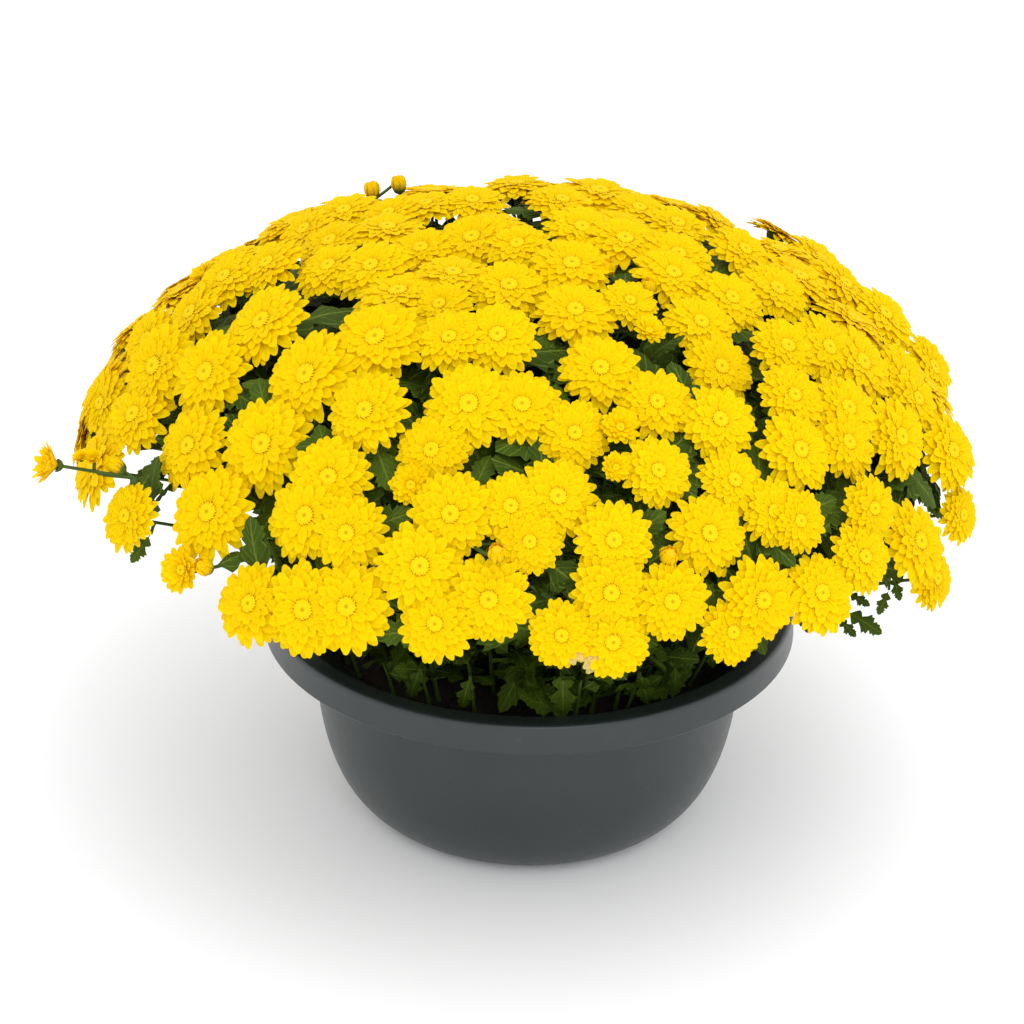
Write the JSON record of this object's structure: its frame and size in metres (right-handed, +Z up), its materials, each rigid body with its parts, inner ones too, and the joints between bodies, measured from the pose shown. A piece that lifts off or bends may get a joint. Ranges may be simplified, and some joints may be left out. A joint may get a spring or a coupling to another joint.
{
  "type": "pot chrysanthemum",
  "caption": "Potted chrysanthemum: low round bowl filled with potting mix, leafy forking stems, and a low dome of double yellow blooms.",
  "frame": {"origin": "middle of the bowl's flat base, on the surface that it stands on", "axes": "+Z up; the side that the picture shows faces -Y; +X to the right seen from there"},
  "size_m": [0.4567, 0.4549, 0.328],
  "materials": {
    "slate_plastic": "satin moulded, dark slate grey",
    "potting_mix": "crumbly, nearly black",
    "green_foliage": "soft matt leaf, dark green",
    "yellow_petals": "soft petal, bright yellow"
  },
  "bodies": {
    "root": {"pot": "slate_plastic", "soil": "potting_mix", "leafy_stem_01": "green_foliage", "leafy_stem_02": "green_foliage", "leafy_stem_03": "green_foliage", "leafy_stem_04": "green_foliage", "leafy_stem_05": "green_foliage", "leafy_stem_06": "green_foliage", "leafy_stem_07": "green_foliage", "leafy_stem_08": "green_foliage", "leafy_stem_09": "green_foliage", "leafy_stem_10": "green_foliage", "leafy_stem_11": "green_foliage", "leafy_stem_12": "green_foliage", "spray_01": "yellow_petals", "spray_02": "yellow_petals", "spray_03": "yellow_petals", "spray_04": "yellow_petals", "spray_05": "yellow_petals", "spray_06": "yellow_petals", "spray_07": "yellow_petals", "spray_08": "yellow_petals", "spray_09": "yellow_petals", "spray_10": "yellow_petals", "spray_11": "yellow_petals", "spray_12": "yellow_petals", "spray_13": "yellow_petals", "spray_14": "yellow_petals", "spray_15": "yellow_petals", "spray_16": "yellow_petals", "spray_17": "yellow_petals", "spray_18": "yellow_petals", "spray_19": "yellow_petals", "spray_20": "yellow_petals", "spray_21": "yellow_petals", "spray_22": "yellow_petals", "spray_23": "yellow_petals", "spray_24": "yellow_petals", "spray_25": "yellow_petals", "spray_26": "yellow_petals", "spray_27": "yellow_petals", "spray_28": "yellow_petals", "spray_29": "yellow_petals", "spray_30": "yellow_petals", "spray_31": "yellow_petals", "spray_32": "yellow_petals", "spray_33": "yellow_petals", "spray_34": "yellow_petals", "spray_35": "yellow_petals", "spray_36": "yellow_petals", "spray_37": "yellow_petals", "spray_38": "yellow_petals", "spray_39": "yellow_petals", "spray_40": "yellow_petals", "spray_41": "yellow_petals", "spray_42": "yellow_petals", "spray_43": "yellow_petals", "spray_44": "yellow_petals", "spray_45": "yellow_petals", "spray_46": "yellow_petals"}
  },
  "joints": []
}
